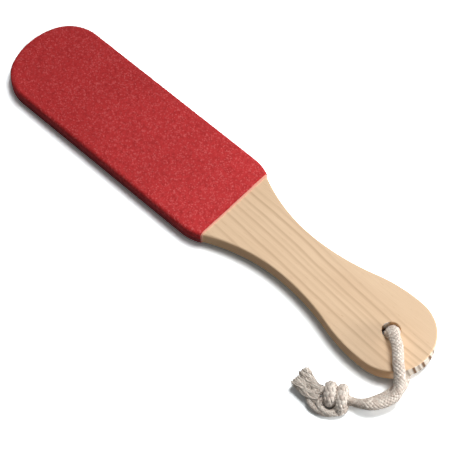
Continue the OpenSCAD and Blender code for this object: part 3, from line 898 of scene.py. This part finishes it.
def make_paddle():
    """The wooden paddle: outline swept arc by arc, pulled up to its thickness, rims rounded."""
    paddle = start_outline("wooden_paddle", 0)
    sweep_head()
    sweep(NECK_C, NECK_TURN, steps=28)
    sweep(GRIP_C, GRIP_TURN, steps=22)
    sweep(SIDE_C, SIDE_END - 90 - GRIP_TURN, steps=20)
    sweep(END_C, -SIDE_END, steps=36)
    run(HOLE_C[0] + HOLE_D / 2 - PADDLE_LENGTH, 0)
    sweep(HOLE_C, 180, steps=36)
    run(HOLE_D / 2 - HOLE_C[0], 0)
    close_and_mirror(paddle)
    raise_block(0, PADDLE_T)

    def rim_share(place):
        if math.dist(place.xy, HOLE_C) < HOLE_D:
            return HOLE_EDGE_R / HEAD_EDGE_R
        under_sheet = min(1, max(0, 1 - (place.x - SHEET_END_X) / EDGE_RUNOUT))
        return (HANDLE_EDGE_R + (HEAD_EDGE_R - HANDLE_EDGE_R) * under_sheet) / HEAD_EDGE_R

    round_rims(paddle, HEAD_EDGE_R, rim_share, steps=6)
    for face in paddle.data.polygons:
        face.use_smooth = abs(face.normal.z) < LEVEL
    lay_down(paddle)
    paddle.data.materials.append(bare_wood())
    add_piece(paddle, "wood", "paddle_board")


# A layer of grain is made past its cut end, in degrees round the neck, and past the board's half height
# in millimetres, and then cut back
PAST_CUT, PAST_HALF = 3.4, 2.0

# The way that the cut end of the grain faces, a hair from square
CUT_FACING = (1, 0.01, 0)

# Mesh size of the grain, and how near to its inner face a small face lies in it, in millimetres
VOXEL, IN_FACE = 0.36, 0.004

# The clumps of the grain: their size in grains, and their relief as a share of the grain's
CLUMP_SIZE, CLUMP_RELIEF = 2.2, 0.5


def make_shell(name, grow, upper):
    """The head grown by a sheet's thickness, its rim rounded over on the side of one face."""
    shell = start_outline(name, -grow)
    sweep_head()
    sweep(NECK_C, PAST_CUT, steps=4)
    last = math.radians(-90 - NECK_TURN + PAST_CUT)
    run(0, -(NECK_C[1] + (NECK_R - grow) * math.sin(last)))
    close_and_mirror(shell)
    if upper:
        raise_block(PADDLE_T / 2 - PAST_HALF, PADDLE_T + grow)
    else:
        raise_block(-grow, PADDLE_T / 2 + PAST_HALF)

    def rim_share(place):
        return float(place.z > PADDLE_T if upper else place.z < 0)

    round_rims(shell, HEAD_EDGE_R + grow, rim_share, steps=8)
    shell.data.remesh_voxel_size = VOXEL * MM
    bpy.ops.object.voxel_remesh()
    return shell


def cut(place, facing, **cleared):
    """Cuts the whole piece through a place, in millimetres, and clears one side of the cut."""
    bpy.ops.mesh.select_all(action="SELECT")
    bpy.ops.mesh.bisect(plane_co=[along * MM for along in place], plane_no=facing, **cleared)


def cut_to_sheet(upper):
    """Leaves the shell of one sheet: half of the head's side, up to the strip of bare cloth."""
    bpy.ops.object.mode_set(mode="EDIT")
    cut((0, 0, PADDLE_T / 2), (0, 0, 1), clear_inner=upper, clear_outer=not upper)
    cut((SHEET_END_X - BARE_CLOTH, 0, 0), CUT_FACING, clear_outer=True)
    bpy.ops.object.mode_set(mode="OBJECT")


def thicken(layer, thickness):
    """Gives a shell its wall, inwards, and keeps its outer points in a group for the relief."""
    outer_count = len(layer.data.vertices)
    grain = layer.vertex_groups.new(name="grain")
    grain.add(list(range(outer_count)), 1.0, "REPLACE")
    wall = layer.modifiers.new("wall", "SOLIDIFY")
    wall.thickness = thickness * MM
    wall.offset = -1
    wall.use_even_offset = True
    bpy.ops.object.modifier_apply(modifier=wall.name)
    grain.remove(list(range(outer_count, len(layer.data.vertices))))


def merge_inner_face(mesh, height):
    """Makes one face of the small ones at a height, where the layer lies flat on the one below."""
    centres = np.zeros(len(mesh.polygons) * 3)
    mesh.polygons.foreach_get("center", centres)
    off_face = np.abs(centres.reshape(-1, 3)[:, 2] - height * MM)
    mesh.polygons.foreach_set("select", off_face < IN_FACE * MM)
    bpy.ops.object.mode_set(mode="EDIT")
    bpy.ops.mesh.select_mode(type="FACE")
    bpy.ops.mesh.dissolve_faces(use_verts=True)
    bpy.ops.mesh.select_mode(type="VERT")
    bpy.ops.object.mode_set(mode="OBJECT")


def roughen(layer, grain_size, relief):
    """Raises grains and their clumps on the outer points, sizes in millimetres."""
    for label, kind, size, strength, middle in (
        ("grains", "VORONOI", grain_size, -relief, 0.45),
        ("clumps", "CLOUDS", grain_size * CLUMP_SIZE, relief * CLUMP_RELIEF, 0.5),
    ):
        texture = bpy.data.textures.new(f"{layer.name}_{label}", kind)
        texture.noise_scale = size * MM
        bumps = layer.modifiers.new(label, "DISPLACE")
        bumps.texture = texture
        bumps.texture_coords = "LOCAL"
        bumps.vertex_group = "grain"
        bumps.strength = strength * MM
        bumps.mid_level = middle
        bpy.ops.object.modifier_apply(modifier=bumps.name)
    layer.vertex_groups.clear()
    layer.data.polygons.foreach_set("use_smooth", np.zeros(len(layer.data.polygons), dtype=bool))


def make_grain_layer(name, node_name, grow, grain_t, upper, grain_size, relief, material):
    """One layer of abrasive grain, rolled over the head's rim to half of its side."""
    layer = make_shell(name, grow, upper)
    cut_to_sheet(upper)
    thicken(layer, grain_t)
    merge_inner_face(layer.data, PADDLE_T + grow - grain_t if upper else grain_t - grow)
    roughen(layer, grain_size, relief)
    lay_down(layer)
    layer.data.materials.append(material)
    add_piece(layer, "coarse_grain" if upper else "fine_grain", node_name)


make_paddle()
make_grain_layer(
    "coarse_grain_layer", "coarse_grit", COARSE_T, COARSE_GRAIN_T, upper=True, grain_size=0.9,
    relief=0.12, material=abrasive_grain("coarse_red_grain", 0.62, *COARSE_RED),
)
make_grain_layer(
    "fine_grain_layer", "fine_grit", FINE_T, FINE_GRAIN_T, upper=False, grain_size=0.7,
    relief=0.09, material=abrasive_grain("fine_red_grain", 0.5, *FINE_RED),
)


def finish_solid(node_name, material):
    """Gives a solid that keeps its own shape its finish."""
    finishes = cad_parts[node_name].data.materials
    finishes.clear()
    finishes.append(material)


# Backing and glue keep their own shapes, which show as thin lines at the sheets' cut edges
backing_finish = cloth_backing()
glue_finish = hard_glue()
for sheet in ("coarse", "fine"):
    finish_solid(f"{sheet}_backing", backing_finish)
    finish_solid(f"{sheet}_adhesive", glue_finish)

# The surface under the file: its width in metres, and its grey for light and white for the camera
SURFACE_W = 6.0
SURFACE_GREY, SURFACE_WHITE = (0.27, 0.27, 0.27), (1.80, 1.87, 1.89)


def make_floor():
    """A white surface under the file that keeps its shadow."""
    clear_selection()
    bpy.ops.mesh.primitive_plane_add(size=SURFACE_W, location=(0, 0, 0))
    floor = bpy.context.object
    floor.name = "white_surface"
    material, tree, shader = new_material("white_surface")
    rays = node(tree, "ShaderNodeLightPath")
    seen = mix(tree, "MIX", rays.outputs["Is Camera Ray"], SURFACE_GREY, SURFACE_WHITE)
    coat(tree, shader, seen, roughness=1.0, gloss=0.0)
    floor.data.materials.append(material)


def make_world(fill):
    """White behind everything, and a weak even fill on the file."""
    world = bpy.data.worlds.new("studio")
    bpy.context.scene.world = world
    world.use_nodes = True
    tree = world.node_tree
    tree.nodes.clear()
    output = node(tree, "ShaderNodeOutputWorld")
    rays = node(tree, "ShaderNodeLightPath")
    seen = rays.outputs["Is Camera Ray"]
    for kind in ("Is Glossy Ray", "Is Transmission Ray"):
        either = node(tree, "ShaderNodeMath", operation="MAXIMUM")
        tree.links.new(seen, either.inputs[0])
        tree.links.new(rays.outputs[kind], either.inputs[1])
        seen = either.outputs[0]
    fill_light = node(tree, "ShaderNodeBackground", Color=(1, 1, 1, 1), Strength=fill)
    white = node(tree, "ShaderNodeBackground", Color=(1, 1, 1, 1), Strength=1.0)
    choice = node(tree, "ShaderNodeMixShader")
    for place, socket in enumerate((seen, fill_light.outputs[0], white.outputs[0])):
        tree.links.new(socket, choice.inputs[place])
    tree.links.new(choice.outputs[0], output.inputs["Surface"])


def make_lamp(name, place, aim, width, depth, power, spread=180):
    """A soft lamp, width across and depth along the way it is tilted."""
    lamp = bpy.data.lights.new(name, "AREA")
    lamp.shape = "RECTANGLE"
    lamp.size = width
    lamp.size_y = depth
    lamp.energy = power
    lamp.spread = math.radians(spread)
    holder = bpy.data.objects.new(name, lamp)
    bpy.context.scene.collection.objects.link(holder)
    holder.location = place
    holder.rotation_euler = (Vector(aim) - Vector(place)).to_track_quat("-Z", "Y").to_euler()


make_floor()
make_world(fill=0.115)
make_lamp(
    "key_lamp", place=(0.10, 0.47, 1.5), aim=(0.09, 0, 0), width=0.5, depth=0.85, power=1.79, spread=45
)
make_lamp("end_lamp", place=(0.60, 0.26, 0.12), aim=(0.12, 0, 0), width=0.3, depth=0.2, power=3.3)

scene = bpy.context.scene
scene.view_settings.view_transform = "Standard"
